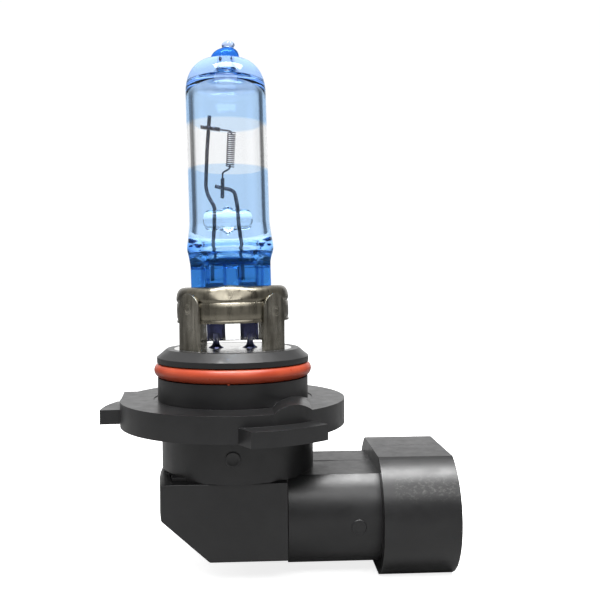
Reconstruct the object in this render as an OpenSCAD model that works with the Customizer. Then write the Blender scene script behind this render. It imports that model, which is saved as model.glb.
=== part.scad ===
// Halogen headlight bulb with a turn-lock base and a right-angle connector.
// The origin is the centre of the flange's top face, on the bulb's axis.
// +Z points to the glass tip and +X to the connector's mouth.

/* [Glass capsule] */
// Outer diameter of the glass tube
glass_d = 11.7; // [9.7:0.1:14.1]
// Thickness of the glass wall
glass_wall = 1.05; // [0.8:0.05:1.4]
// Height of the glass tip above the flange
tip_z = 52.2; // [47.4:0.1:62]
// Lean of the capsule away from the connector, which brings the coil onto the axis
capsule_lean = 1.3; // [0:0.1:1.6]
// How far the bulge above the pinch stands out of the tube
bulge_rise = 0.45; // [0.2:0.05:0.8]
// Width of the pinch
pinch_w = 11.6; // [9.6:0.1:14]
// Thickness of the pinch between its side rails
pinch_t = 2.6; // [2.2:0.1:3]
// Height of the pinch, from its lower end to the bulge
pinch_h = 11.4; // [9.5:0.1:13.7]

/* [Filament] */
// Outer diameter of the coil
coil_d = 1.3; // [1:0.05:1.6]
// Length of the coil
coil_l = 5.1; // [4:0.1:6.2]
// Height of the coil's centre above the flange
coil_z = 36.3; // [35:0.1:38]
// Diameter of the two support wires
support_d = 0.55; // [0.45:0.05:0.65]
// Diameter of the two sleeves on the coil's ends
sleeve_d = 0.62; // [0.55:0.01:0.75]
// Space between each end of the bridge bead and the glass
bead_gap = 1.15; // [0.8:0.05:1.5]
// Diameter of the bridge bead
bead_d = 3.1; // [2.6:0.1:3.6]

/* [Leads] */
// Distance between the two outer leads
lead_pitch = 5; // [4.4:0.1:5.4]
// Diameter of the outer leads
lead_d = 0.85; // [0.7:0.05:1]
// Width of each foil
foil_w = 2.8; // [2:0.1:3]

/* [Steel holder] */
// Distance from the pinch's edge to the outside of the retainer ring
ring_gap = 2.4; // [2.1:0.05:2.6]
// Height of the retainer ring
ring_h = 5.1; // [4:0.1:5.6]
// Thickness of the steel sheet
sheet = 0.4; // [0.3:0.05:0.5]
// Width of each leg
leg_w = 4.2; // [3.4:0.1:5]
// Angle of each front leg from the front
leg_angle = 46; // [40:1:50]

/* [Base] */
// Diameter of the neck that enters the lamp
neck_d = 22; // [21:0.1:26.4]
// Height from the flange's top to the steel plate
neck_h = 7.3; // [7:0.1:8.8]
// How far the O-ring stands out of the neck
oring_rise = 0.5; // [0.3:0.05:0.7]
// Thickness of the O-ring
oring_t = 2.1; // [1.8:0.1:2.3]
// How far the flange reaches past the neck
flange_w = 5.4; // [4.5:0.05:7]
// Thickness of the flange
flange_t = 3.6; // [3:0.1:4.4]
// How far the two round locking lugs reach past the flange
lug_reach = 2.95; // [1.5:0.05:3.5]
// Thickness of the locking lugs
lug_t = 2.1; // [1.7:0.1:2.6]
// Height of the drum below the flange
drum_h = 6.6; // [5.5:0.1:8]
// Wall of the plastic mouldings
wall = 1.6; // [1.2:0.1:1.8]

/* [Connector] */
// Distance from the axis to the connector's mouth
mouth_x = 31.1; // [29:0.1:37.4]
// Depth of the shroud along the connector
shroud_l = 10.6; // [8.7:0.1:12]
// Height of the side tube
tube_h = 12.3; // [12:0.1:15]
// How far the shroud stands out of the tube at each side
side_step = 2.1; // [0.8:0.1:2.6]
// How far the shroud stands out of the tube above and below
top_step = 2.2; // [0.8:0.05:2.6]
// Width of each terminal blade
blade_w = 2.8; // [2:0.1:3.2]
// Distance between the two blades' centres
blade_pitch = 7; // [6:0.1:8]

/* [Clearances] */
// Gap between pieces that are pushed together
slip = 0.05; // [0.02:0.01:0.1]
// Gap between a wire and the glass or resin round it
seal = 0.02; // [0.01:0.01:0.04]

/* [Hidden] */
$fn = 64;

// Glass levels, counted from the tip and from the pinch
pinch_bottom = neck_h + 1.1;
bulge_r = glass_d / 2 + bulge_rise;
pinch_top = pinch_bottom + pinch_h;
bulge_z = pinch_top + 2.4;
tube_z = bulge_z + 3.4;
nub_h = 1.3;
nub_r = 1.05;
nub_shift = 0.45;
dome_r = 2.1;
dome_h = 1.6;
dome_z = tip_z - nub_h - dome_h;
shoulder_h = 5;
ceiling_h = 3;
ceiling_z = dome_z - 2.7;
rail_w = 1.7;
rail_t = pinch_t + 1.1;
pocket_depth = 0.35;

// The capsule, its wires and its foils lean about this level
lean_z = pinch_bottom + 0.6;
lean_drift = sin(capsule_lean);

// Wire positions, in the plane through the capsule's axis that faces the front
lead_x = lead_pitch / 2;
coil_low = coil_z - coil_l / 2;
coil_high = coil_z + coil_l / 2;
coil_wire = 0.3;
tail_d = 0.25;
coil_x = -0.15;
coil_tilt = 3;
bead_z = 26;
bead_x = -0.25;
wire_y = support_d / 2 + sleeve_d / 2 + seal;
bore_limit = glass_d / 2 - glass_wall - 1.2;
bead_l = glass_d - 2 * glass_wall - 2 * bead_gap;
foil_low = pinch_bottom + 1.1;
foil_high = pinch_top - 2.6;
foil_t = 0.15;
bar_z = coil_high + 0.55;
lower_sleeve_l = 2.9;
lower_sleeve_top = coil_low - 1.6;
tie_z = lower_sleeve_top - 1.35;

// Routes of the two support wires in the capsule's frame, as sideways and height
LONG_ROUTE = [[-2.75, foil_high + seal], [-2.6, pinch_top + 2.4], [-2.1, bead_z - bead_d / 2 - 0.4],
    [-2.1, bead_z + bead_d / 2 + 0.4], [-bore_limit + 0.5, bead_z + 3.8], [-bore_limit + 0.25, bead_z + 5],
    [-bore_limit + 0.6, coil_z + 0.3], [-bore_limit + 1.1, bar_z + 2]];
SHORT_ROUTE = [[1.7, foil_high + seal], [1.8, pinch_top + 2.2], [1.2, bead_z - bead_d / 2 - 0.4],
    [1.2, bead_z + bead_d / 2 + 0.4], [0.85, tie_z - 0.7], [0.3, tie_z - 0.25],
    [-0.9, tie_z], [-2, tie_z + 0.3]];

// Steel holder
ring_d = pinch_w + 2 * ring_gap;
ring_low = neck_h + 3.95;
ring_top = ring_low + ring_h;
ring_in = ring_d / 2 - sheet;
lip_in = ring_in - 1.5;
plate_r = ring_d / 2 + seal + sheet;
leg_top = ring_top - 0.95;
dent_depth = 0.9;
dent_half = 1.6;
clip_low = ring_low + 0.6;
clip_h = 3;
bow_w = 4;
LEG_ANGLES = [-90 - leg_angle, -90 + leg_angle, 90 - leg_angle, 90 + leg_angle];

// Base levels and radii
oring_r = neck_d / 2 + oring_rise;
lip_r = neck_d / 2 + 0.1;
rim_r = plate_r + 1.1;
groove_r = oring_r - oring_t;
groove_low = 3.2;
groove_top = groove_low + oring_t + 0.1;
lip_top = groove_top + 0.75;
relief = 0.12;
flange_r = neck_d / 2 + flange_w;
lug_r = flange_r + lug_reach;
drum_r = neck_d / 2 + 0.1;
drum_x = 0.65;
drum_low = -flange_t - drum_h;
bore_r = 6.6;
plug_h = 3.4;
bump_chord = 5.2;
bump_rise = 1;
bump_x = 8.2;
ear_x = flange_r + 0.7;
ear_w = 6.6;
ear_root = oring_r + 1;
lug_foot = 1.3;

// Connector
cover_w = 2 * drum_r - 1.6;
tube_w = cover_w - 0.2;
shroud_w = tube_w + 2 * side_step;
shroud_h = tube_h + 2 * top_step;
tube_top = drum_low + 0.2;
tube_mid = tube_top - tube_h / 2;
tube_low = tube_top - tube_h;
shroud_x = mouth_x - shroud_l;
tube_flat = tube_w - 6;
shroud_flat = shroud_w - 11;
passage_w = tube_w - 2 * wall - 4.4;
passage_h = tube_h - 2 * wall - 3;
blade_t = 0.8;
blade_tip = mouth_x - 2.4;

// Elbow core and its cover
cover_x0 = drum_x - drum_r + 0.9;
cover_bow = 1;
cover_x1 = 7.6;
cover_top = drum_low - 0.02;
cover_low = tube_low + 1.3;
chamfer_x = 6.5;
chamfer_z = 5.8;
core_inset = wall + slip;
core_w = cover_w - 2 * core_inset;

// Leans its children with the capsule
module leaning()
    translate([0, 0, lean_z])
        rotate([0, -capsule_lean, 0])
            translate([0, 0, -lean_z])
                children();

// A wire swept along points that stay near one upright plane
function unit(v) = v / norm(v);
function along(p, i) = unit(
    i == 0 ? p[1] - p[0] :
    i == len(p) - 1 ? p[i] - p[i - 1] :
    unit(p[i + 1] - p[i]) + unit(p[i] - p[i - 1]));
module wire(points, d, sides = 12) {
    rings = [for (i = [0 : len(points) - 1])
        let (t = along(points, i), u = unit(cross([0, 1, 0], t)), v = cross(t, u))
        [for (k = [0 : sides - 1])
            points[i] + d / 2 * (cos(360 * k / sides) * u + sin(360 * k / sides) * v)]];
    n = len(points);
    polyhedron(
        points = [for (ring = rings) each ring],
        faces = concat(
            [[for (k = [0 : sides - 1]) sides - 1 - k]],
            [for (i = [0 : n - 2]) for (k = [0 : sides - 1])
                let (m = (k + 1) % sides)
                [i * sides + k, i * sides + m, (i + 1) * sides + m, (i + 1) * sides + k]],
            [[for (k = [0 : sides - 1]) (n - 1) * sides + k]]));
}

// Shoulder that closes a tube of radius r to end_r at the level top, over the height h
function shoulder(r, end_r, top, h, power) = [for (a = [0 : 9 : 81])
    [end_r + (r - end_r) * sqrt(1 - pow(sin(a), power)), top - h + h * sin(a)]];

// Outline of the glass from its round foot to the top of its tube, as radius and height, shrunk by inset
function capsule_outline(inset) = let (r = glass_d / 2 - inset, b = bulge_r - inset) concat(
    [[0, pinch_top - 0.6 + inset], [r * 0.62, pinch_top - 0.4 + inset * 0.9]],
    [for (a = [-50 : 20 : 50]) [b - 1.6 + 1.6 * cos(a), bulge_z + 1.9 * sin(a)]],
    [[r, tube_z]]);

module tip_outline() {
    polygon(concat(
        capsule_outline(0),
        shoulder(glass_d / 2, dome_r + 0.2, dome_z, shoulder_h, 2.3),
        [for (a = [0 : 12 : 72]) [dome_r * cos(a), dome_z + dome_h * sin(a)]],
        [[0, dome_z + dome_h]]));
}

// Straight channel for a support wire between the first two points of its route
module channel(route) {
    step = route[1] - route[0];
    translate([route[0][0], 0, route[0][1] - seal])
        rotate([0, atan2(step[0], step[1]), 0])
            cylinder(r = support_d / 2 + seal, h = norm(step));
}

module pinch_body() {
    translate([-pinch_w / 2 + rail_w / 2, -pinch_t / 2, pinch_bottom])
        cube([pinch_w - rail_w, pinch_t, pinch_h + 1]);
    for (side = [-1, 1])
        translate([side * (pinch_w - rail_w) / 2 - rail_w / 2, -rail_t / 2, pinch_bottom])
            cube([rail_w, rail_t, pinch_h + 1.2]);
}

module glass_capsule() color([0.55, 0.75, 1, 0.4]) leaning()
    difference() {
        union() {
            rotate_extrude() tip_outline();
            translate([nub_shift, 0, dome_z + dome_h / 2])
                cylinder(r = nub_r, h = tip_z - dome_z - dome_h / 2);
            pinch_body();
        }
        rotate_extrude()
            polygon(concat(
                capsule_outline(glass_wall),
                shoulder(glass_d / 2 - glass_wall, 1.6, ceiling_z, ceiling_h, 3),
                [[0, ceiling_z]]));
        channel(LONG_ROUTE);
        channel(SHORT_ROUTE);
        for (side = [-1, 1]) {
            translate([side * lead_x - foil_w / 2 - seal, -foil_t / 2 - seal, foil_low - seal])
                cube([foil_w + 2 * seal, foil_t + 2 * seal, foil_high - foil_low + 2 * seal]);
            translate([side * lead_x, 0, pinch_bottom - 1])
                cylinder(r = lead_d / 2 + 2 * seal, h = foil_low - pinch_bottom + 1);
            for (face = [-1, 1])
                translate([side * lead_x - 1.5, face * pinch_t / 2 - pocket_depth, foil_high + 0.5])
                    cube([3, 2 * pocket_depth, 1.6]);
        }
    }
module filament_coil() color("silver")
    translate([coil_x, 0, coil_z])
        rotate([0, coil_tilt, 0])
            difference() {
                cylinder(d = coil_d, h = coil_l, center = true);
                cylinder(d = coil_d - 2 * coil_wire, h = coil_l + 2, center = true);
            }

// Bar of diameter d from one point to another, both given as sideways and height
module bar(from, to, d) {
    step = to - from;
    translate([from[0], 0, from[1]])
        rotate([0, atan2(step[0], step[1]), 0])
            cylinder(d = d, h = norm(step));
}

// Cross bar that carries the coil's upper end, with the thin tail that enters the coil
module upper_filament_sleeve() color("dimgray") {
    top = [coil_x + coil_l / 2 * sin(coil_tilt), coil_high];
    bar([-bore_limit - 0.9, bar_z + 0.2], [coil_x - 1.5, bar_z - 0.2], sleeve_d);
    bar([coil_x - 1.7, bar_z - 0.2], top + [tail_d / 3, 0.12], tail_d * 1.2);
    bar(top + [0, 0.2], top - [0, 0.5], tail_d);
}

// Straight bar below the coil, with a thin tail that steps across and enters the coil
module lower_filament_sleeve() color("dimgray") {
    foot = [coil_x - coil_l / 2 * sin(coil_tilt), coil_low];
    head = [coil_x - 1.2, lower_sleeve_top];
    bar(head - [0.05, lower_sleeve_l], head, sleeve_d);
    bar(head - [0, 0.1], head + [0, 0.8], tail_d);
    bar(head + [-tail_d / 3, 0.7], foot + [tail_d / 3, -0.3], tail_d * 1.2);
    bar(foot - [0, 0.4], foot + [0, 0.5], tail_d);
}

// A support wire rises in the capsule's middle plane and passes behind the sleeve it carries
module support_wire(route, behind)
    leaning()
        wire([for (i = [0 : len(route) - 1])
            [route[i][0], wire_y * max(0, min(1, i - behind)), route[i][1]]], support_d);
module long_support_wire() color("dimgray") support_wire(LONG_ROUTE, 3);
module short_support_wire() color("dimgray") support_wire(SHORT_ROUTE, 3);

module bridge_bead() color([0.8, 0.9, 1, 0.6])
    leaning()
        difference() {
            reach = bead_l / 2 - bead_d / 2;
            translate([bead_x, 0, bead_z])
                rotate([0, 90, 0])
                    rotate_extrude()
                        polygon(concat(
                            [[0, -bead_l / 2]],
                            [for (a = [-75 : 15 : 0]) bead_d / 2 * [cos(a), sin(a)] - [0, reach]],
                            [for (a = [0 : 15 : 75]) bead_d / 2 * [cos(a), sin(a)] + [0, reach]],
                            [[0, bead_l / 2]]));
            for (route = [LONG_ROUTE, SHORT_ROUTE])
                translate([route[2][0], 0, bead_z - bead_d])
                    cylinder(r = support_d / 2 + seal, h = 2 * bead_d);
        }

module foil(side) color("midnightblue")
    leaning()
        translate([side * lead_x - foil_w / 2, -foil_t / 2, foil_low])
            cube([foil_w, foil_t, foil_high - foil_low]);
module foil_left() foil(-1);
module foil_right() foil(1);

module outer_lead(side) color("gainsboro")
    translate([side * lead_x, 0, -1])
        cylinder(d = lead_d, h = foil_low - seal - lead_x * lean_drift + 1);
module outer_lead_left() outer_lead(-1);
module outer_lead_right() outer_lead(1);

// Three-sided prism that stands upright at the front, its edge pointing to the axis
module dent(grow) {
    translate([0, -ring_d / 2, ring_low + 0.5 - grow])
        linear_extrude(ring_h)
            polygon([[-dent_half - grow, -1], [-dent_half - grow, 0], [0, dent_depth + grow],
                [dent_half + grow, 0], [dent_half + grow, -1]]);
}

module ring_outline(inset) {
    lip = 1.2 - inset;
    polygon(concat(
        [[lip_in, ring_top - inset]],
        [for (a = [90 : -15 : 0])
            [ring_d / 2 - 1.2 + lip * cos(a), ring_top - 1.2 + lip * sin(a)]],
        [[ring_d / 2 - inset, ring_low], [lip_in, ring_low]]));
}

module retainer_ring() color("dimgray") {
    difference() {
        rotate_extrude() ring_outline(0);
        difference() {
            translate([0, 0, -0.01]) rotate_extrude() ring_outline(sheet);
            dent(sheet);
        }
        dent(0);
        translate([0, 0, ring_low - 1])
            cylinder(r = lip_in + 0.01, h = ring_h - sheet + 0.99);
        translate([0, 0, ring_top - 2])
            cylinder(r = lip_in + 0.01, h = 4);
    }
}

// Frame round the pinch, with arms that bear on the inside of the ring
module pinch_clip() color("gray") {
    in_w = pinch_w + 2 * slip + 2 * lean_drift * (clip_low + clip_h - lean_z);
    in_t = rail_t + 2 * slip;
    bow_y = ring_in - dent_depth - 2 * sheet - slip;
    translate([0, 0, clip_low])
        difference() {
            union() {
                translate([-in_w / 2 - sheet, -in_t / 2 - sheet, 0])
                    cube([in_w + 2 * sheet, in_t + 2 * sheet, clip_h]);
                for (side = [-1, 1])
                    translate([side * bow_w / 2 - sheet / 2, -bow_y, 0])
                        cube([sheet, 2 * bow_y, clip_h]);
                for (face = [-1, 1])
                    translate([-bow_w / 2, face * bow_y - sheet / 2, 0])
                        cube([bow_w, sheet, clip_h]);
                intersection() {
                    translate([-ring_in, -leg_w / 2, 0])
                        cube([2 * ring_in, leg_w, sheet]);
                    cylinder(r = ring_in - slip, h = sheet);
                }
            }
            translate([-in_w / 2, -in_t / 2, -1])
                cube([in_w, in_t, clip_h + 2]);
        }
}

// A leg seen from outside, with its round top
module leg_outline()
    polygon(concat(
        [[-leg_w / 2, neck_h - sheet / 2], [leg_w / 2, neck_h - sheet / 2]],
        [for (a = [0 : 15 : 180])
            [leg_w / 2 * cos(a), leg_top - leg_w / 2 + leg_w / 2 * sin(a)]]));

// Cup cut into a plate that lies in the base and four legs that stand up outside the ring
module leg_bracket() color("darkgray") {
    low = neck_h - sheet;
    difference() {
        intersection() {
            difference() {
                translate([0, 0, low])
                    cylinder(r = plate_r, h = leg_top);
                translate([0, 0, neck_h])
                    cylinder(r = plate_r - sheet, h = leg_top);
            }
            union() {
                translate([0, 0, low - 1])
                    cylinder(r = plate_r + 1, h = sheet + 1);
                for (a = LEG_ANGLES)
                    rotate([90, 0, 90 + a])
                        linear_extrude(2 * plate_r)
                            leg_outline();
            }
        }
        for (side = [-1, 1])
            translate([side * lead_x, 0, neck_h - 1])
                cylinder(d = lead_d + 1.4, h = 2);
    }
}

// Flat oval of width w and height h whose top and bottom are flat over the width f
module oval(w, h, f) {
    side = (w - f) / 2;
    r = (side * side + h * h / 4) / (2 * side);
    intersection() {
        square([w, h], center = true);
        union() {
            for (s = [-1, 1])
                translate([s * (w / 2 - r), 0])
                    circle(r = r);
            square([f, h], center = true);
        }
    }
}

// Oval bar along X, from x0 to x1
module oval_bar(x0, x1, w, h, f, z)
    translate([x0, 0, z])
        rotate([90, 0, 90])
            linear_extrude(x1 - x0)
                oval(w, h, f);

module sector(r, a0, a1, z0, z1)
    translate([0, 0, z0])
        rotate([0, 0, a0])
            rotate_extrude(angle = a1 - a0)
                square([r, z1 - z0]);

// Locking lug: an arc of the flange's lower half between two angles, wider at the root of its first end
module lug(a0, a1) {
    sector(lug_r, a0, a1, -flange_t, lug_t - flange_t);
    translate([0, 0, -flange_t])
        rotate([0, 0, a0])
            linear_extrude(lug_t)
                polygon([[flange_r - 1, -lug_foot], [flange_r - 0.2, -lug_foot], [lug_r - 0.02, 0.01],
                    [lug_r - 0.1, 1], [flange_r - 1, 1]]);
}

module flange() {
    translate([0, 0, -flange_t])
        cylinder(r = flange_r, h = flange_t - relief);
    translate([0, 0, -relief])
        difference() {
            cylinder(r = flange_r, h = relief);
            translate([0, 0, -1])
                cylinder(r = oring_r + 0.15, h = relief + 2);
        }
    lug(-82, -49);
    lug(38, 70);
    lug(160, 184.5);
    translate([0, 0, -flange_t])
        linear_extrude(flange_t)
            polygon([[-flange_r, 0], [-ear_x, ear_w], [-ear_root, ear_w], [-ear_root, 0]]);
}

// Low half-round rib on the flange, which lies across the connector
module bump() {
    r = (bump_chord * bump_chord / 4 + bump_rise * bump_rise) / (2 * bump_rise);
    intersection() {
        translate([bump_x, 0, bump_rise - r])
            rotate([90, 0, 0])
                cylinder(r = r, h = flange_r);
        difference() {
            translate([0, 0, -relief - 0.5])
                cylinder(r = flange_r, h = bump_rise + 2);
            translate([0, 0, -2])
                cylinder(r = neck_d / 2 - 0.5, h = 5);
        }
    }
}

// Chamfered side view of the elbow, shrunk by inset on its left, its chamfer and its bottom
module elbow_outline(inset, right, top) {
    slope = norm([chamfer_x, chamfer_z]) * inset + chamfer_x * chamfer_z;
    left = cover_x0 - cover_bow + inset;
    low = cover_low + inset;
    polygon([[left, top], [left, cover_low + (slope - chamfer_z * (left - cover_x0)) / chamfer_x],
        [cover_x0 + (slope - chamfer_x * inset) / chamfer_z, low], [right, low], [right, top]]);
}

// The same side view as a block of width w across the connector
module elbow_block(inset, right, top, w)
    translate([0, w / 2, 0])
        rotate([90, 0, 0])
            linear_extrude(w)
                elbow_outline(inset, right, top);

// Block of the elbow whose left wall bows outwards
module bowed_elbow(inset, right, top, w)
    intersection() {
        elbow_block(inset, right, top, w);
        translate([0, 0, cover_low - 1])
            linear_extrude(top - cover_low + 2)
                polygon(concat(
                    [[right + 1, w / 2], [right + 1, -w / 2]],
                    [for (i = [-6 : 6])
                        let (y = i / 6 * w / 2, share = 2 * y / cover_w)
                        [cover_x0 + inset - cover_bow * (1 - share * share), y]]));
    }

module neck_outline() {
    polygon([[0, -flange_t], [neck_d / 2, -flange_t], [neck_d / 2, groove_low], [groove_r, groove_low],
        [groove_r, groove_top], [lip_r, groove_top], [lip_r, lip_top], [rim_r, neck_h], [0, neck_h]]);
}

module base_housing() color([0.16, 0.16, 0.17]) {
    difference() {
        union() {
            rotate_extrude() neck_outline();
            flange();
            bump();
            translate([drum_x, 0, drum_low])
                cylinder(r = drum_r, h = drum_h + 0.5);
            bowed_elbow(core_inset, cover_x1 + slip, drum_low + 0.5, core_w);
            translate([cover_x1 - 1, -tube_flat / 2, cover_low + core_inset])
                cube([2, tube_flat, tube_top - cover_low - core_inset]);
            oval_bar(cover_x1 + slip, shroud_x + 0.5, tube_w, tube_h, tube_flat, tube_mid);
            oval_bar(shroud_x, mouth_x, shroud_w, shroud_h, shroud_flat, tube_mid);
        }
        // Seat of the steel plate, and the bore for the leads
        translate([0, 0, neck_h - sheet])
            cylinder(r = plate_r + slip, h = 1);
        translate([0, 0, drum_low])
            cylinder(r = bore_r, h = neck_h - drum_low + 1);
        // Chamber of the elbow, open below and to the rear
        elbow_block(-1, cover_x1 - wall, drum_low + 0.5, passage_w);
        // Passage to the shroud, and the shroud's hollow
        translate([0, -passage_w / 2, tube_mid - passage_h / 2])
            cube([mouth_x, passage_w, passage_h]);
        oval_bar(shroud_x + wall, mouth_x + 1, shroud_w - 2 * wall, shroud_h - 2 * wall,
            shroud_flat - wall, tube_mid);
    }
}

// Resin disc under the plate that holds the two leads
module sealing_plug() color([0.3, 0.28, 0.25])
    translate([0, 0, neck_h - sheet - plug_h])
        difference() {
            cylinder(r = bore_r - seal, h = plug_h);
            for (side = [-1, 1])
                translate([side * lead_x, 0, -1])
                    cylinder(r = lead_d / 2 + seal, h = plug_h + 2);
        }

module o_ring() color([0.72, 0.27, 0.16])
    translate([0, 0, groove_low + 0.05 + oring_t / 2])
        rotate_extrude()
            translate([oring_r - oring_t / 2, 0])
                circle(d = oring_t);

// Tube crimped round a lead and its terminal's pin
module ferrule(side) color("goldenrod")
    translate([side * lead_x, 0, -3])
        difference() {
            cylinder(r = lead_d / 2 + 0.5, h = 4.5);
            translate([0, 0, -1])
                cylinder(r = lead_d / 2 + seal, h = 7);
        }
module ferrule_left() ferrule(-1);
module ferrule_right() ferrule(1);

// Bent strip: pin, foot, upright and the long blade that reaches into the shroud
module terminal(side) color("silver") {
    foot_z = -5.4;
    arm_w = blade_pitch / 2;
    translate([side * lead_x, 0, foot_z])
        cylinder(d = lead_d, h = -1 - seal - foot_z);
    translate([side * lead_x - blade_w / 2, min(0, side * arm_w) - blade_w / 2, foot_z - blade_t])
        cube([blade_w, arm_w + blade_w, blade_t]);
    translate([side * lead_x + blade_w / 2 - blade_t, side * arm_w - blade_w / 2, tube_mid - blade_t / 2])
        cube([blade_t, blade_w, foot_z - tube_mid]);
    translate([side * lead_x + blade_w / 2 - blade_t, side * arm_w - blade_w / 2, tube_mid - blade_t / 2])
        cube([blade_tip - side * lead_x - blade_w / 2 + blade_t, blade_w, blade_t]);
}
module terminal_left() terminal(-1);
module terminal_right() terminal(1);

// Insulator in the passage, with a slot for each blade
module terminal_carrier() color("darkslategray")
    difference() {
        translate([cover_x1 + 1, -passage_w / 2 + slip, tube_mid - passage_h / 2 + slip])
            cube([shroud_x + wall - cover_x1 - 1, passage_w - 2 * slip, passage_h - 2 * slip]);
        for (side = [-1, 1])
            translate([0, side * blade_pitch / 2 - blade_w / 2 - slip, tube_mid - blade_t / 2 - slip])
                cube([mouth_x, blade_w + 2 * slip, blade_t + 2 * slip]);
    }

// Shell that closes the elbow from the front, the back, the left and below
module elbow_cover() color([0.14, 0.14, 0.15]) {
    difference() {
        bowed_elbow(0, cover_x1, cover_top, cover_w);
        bowed_elbow(wall, cover_x1 + 1, cover_top + 1, core_w + 2 * slip);
    }
}

glass_capsule();
filament_coil();
upper_filament_sleeve();
lower_filament_sleeve();
long_support_wire();
short_support_wire();
bridge_bead();
foil_left();
foil_right();
outer_lead_left();
outer_lead_right();
retainer_ring();
pinch_clip();
leg_bracket();
base_housing();
sealing_plug();
o_ring();
ferrule_left();
ferrule_right();
terminal_left();
terminal_right();
terminal_carrier();
elbow_cover();
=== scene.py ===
import math

import bpy
from mathutils import Matrix, Vector

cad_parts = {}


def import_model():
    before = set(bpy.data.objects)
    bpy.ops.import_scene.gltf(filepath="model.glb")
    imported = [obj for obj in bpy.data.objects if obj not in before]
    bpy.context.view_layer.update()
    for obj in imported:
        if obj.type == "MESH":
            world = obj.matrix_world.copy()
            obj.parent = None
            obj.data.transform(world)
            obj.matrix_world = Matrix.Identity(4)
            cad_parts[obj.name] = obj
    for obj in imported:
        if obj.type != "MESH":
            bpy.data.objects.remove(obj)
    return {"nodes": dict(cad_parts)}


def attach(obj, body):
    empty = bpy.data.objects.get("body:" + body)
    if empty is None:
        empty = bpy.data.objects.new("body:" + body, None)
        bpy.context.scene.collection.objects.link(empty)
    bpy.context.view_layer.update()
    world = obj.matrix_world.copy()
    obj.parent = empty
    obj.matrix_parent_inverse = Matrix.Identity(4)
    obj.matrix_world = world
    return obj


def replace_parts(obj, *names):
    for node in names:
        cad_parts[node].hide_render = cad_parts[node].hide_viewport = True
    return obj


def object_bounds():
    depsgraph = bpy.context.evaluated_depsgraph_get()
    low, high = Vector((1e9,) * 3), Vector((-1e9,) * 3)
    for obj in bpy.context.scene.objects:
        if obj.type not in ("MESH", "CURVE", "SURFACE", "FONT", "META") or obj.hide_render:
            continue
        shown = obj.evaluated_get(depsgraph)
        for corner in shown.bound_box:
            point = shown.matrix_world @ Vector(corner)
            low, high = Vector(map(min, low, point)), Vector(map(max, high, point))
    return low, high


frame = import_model()
cad_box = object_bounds()
MM = 0.001


# ---------------------------------------------------------------- meshes


def make_mesh(name, verts, faces, material, inner_from=None, inner_material=None):
    """A piece from points in millimetres. Faces from inner_from on take inner_material."""
    mesh = bpy.data.meshes.new(name)
    mesh.from_pydata([[c * MM for c in v] for v in verts], [], faces)
    mesh.validate()
    mesh.materials.append(material)
    if inner_material is not None:
        mesh.materials.append(inner_material)
        for polygon in mesh.polygons[inner_from:]:
            polygon.material_index = 1
    for polygon in mesh.polygons:
        polygon.use_smooth = True
    piece = bpy.data.objects.new(name, mesh)
    bpy.context.scene.collection.objects.link(piece)
    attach(piece, "root")
    return piece


def loft(rings, flip=False, first=0):
    """Points and faces of a closed skin over rings of equal count, with a fan at each end."""
    count = len(rings[0])
    verts = [p for ring in rings for p in ring]
    faces = []
    for i in range(len(rings) - 1):
        for k in range(count):
            m = (k + 1) % count
            faces.append([i * count + k, i * count + m, (i + 1) * count + m, (i + 1) * count + k])
    for ring_index, forward in ((0, False), (len(rings) - 1, True)):
        ring = rings[ring_index]
        centre = [sum(p[a] for p in ring) / count for a in range(3)]
        verts.append(centre)
        c = len(verts) - 1
        for k in range(count):
            a, b = ring_index * count + k, ring_index * count + (k + 1) % count
            faces.append([a, b, c] if forward else [b, a, c])
    if flip:
        faces = [f[::-1] for f in faces]
    return verts, [[first + i for i in f] for f in faces]


def lathe(profile, count=96, closed=False, centre=(0, 0)):
    """Points and faces of a profile of (radius, height) turned round the Z axis."""
    verts, faces = [], []
    rows = len(profile)
    for r, z in profile:
        for k in range(count):
            a = 2 * math.pi * k / count
            verts.append([centre[0] + r * math.cos(a), centre[1] + r * math.sin(a), z])
    for i in range(rows if closed else rows - 1):
        j = (i + 1) % rows
        for k in range(count):
            m = (k + 1) % count
            faces.append([i * count + k, i * count + m, j * count + m, j * count + k])
    return verts, faces


def join(parts):
    """One list of points and faces from several."""
    verts, faces = [], []
    for part_verts, part_faces in parts:
        faces += [[len(verts) + i for i in f] for f in part_faces]
        verts += part_verts
    return verts, faces


def tube(points, radius, sides=12):
    """Points and faces of a round wire along points, with its frame carried along the path."""
    path = [Vector(p) for p in points]
    rings = []
    normal = None
    for i, p in enumerate(path):
        t = (path[min(i + 1, len(path) - 1)] - path[max(i - 1, 0)]).normalized()
        if normal is None:
            normal = t.orthogonal().normalized()
        normal = (normal - normal.dot(t) * t).normalized()
        side = t.cross(normal)
        angles = [2 * math.pi * k / sides for k in range(sides)]
        rings.append([list(p + radius * (math.cos(a) * normal + math.sin(a) * side)) for a in angles])
    return loft(rings)


def rounded_path(points, step=0.25, bend=0.6):
    """The points joined by straight runs, with each corner rounded over the length bend."""
    path = [Vector(p) for p in points]
    out = [path[0]]
    for i in range(1, len(path) - 1):
        a, b, c = path[i - 1], path[i], path[i + 1]
        near = min(bend, (b - a).length / 2, (c - b).length / 2)
        start, end = b + (a - b).normalized() * near, b + (c - b).normalized() * near
        for k in range(7):
            t = k / 6
            out.append((1 - t) ** 2 * start + 2 * t * (1 - t) * b + t * t * end)
    out.append(path[-1])
    fine = [out[0]]
    for p in out[1:]:
        n = max(1, int((p - fine[-1]).length / step))
        base = fine[-1]
        fine += [base.lerp(p, (k + 1) / n) for k in range(n)]
    return [p for i, p in enumerate(fine) if i == 0 or (p - fine[i - 1]).length > 1e-4]


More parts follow.
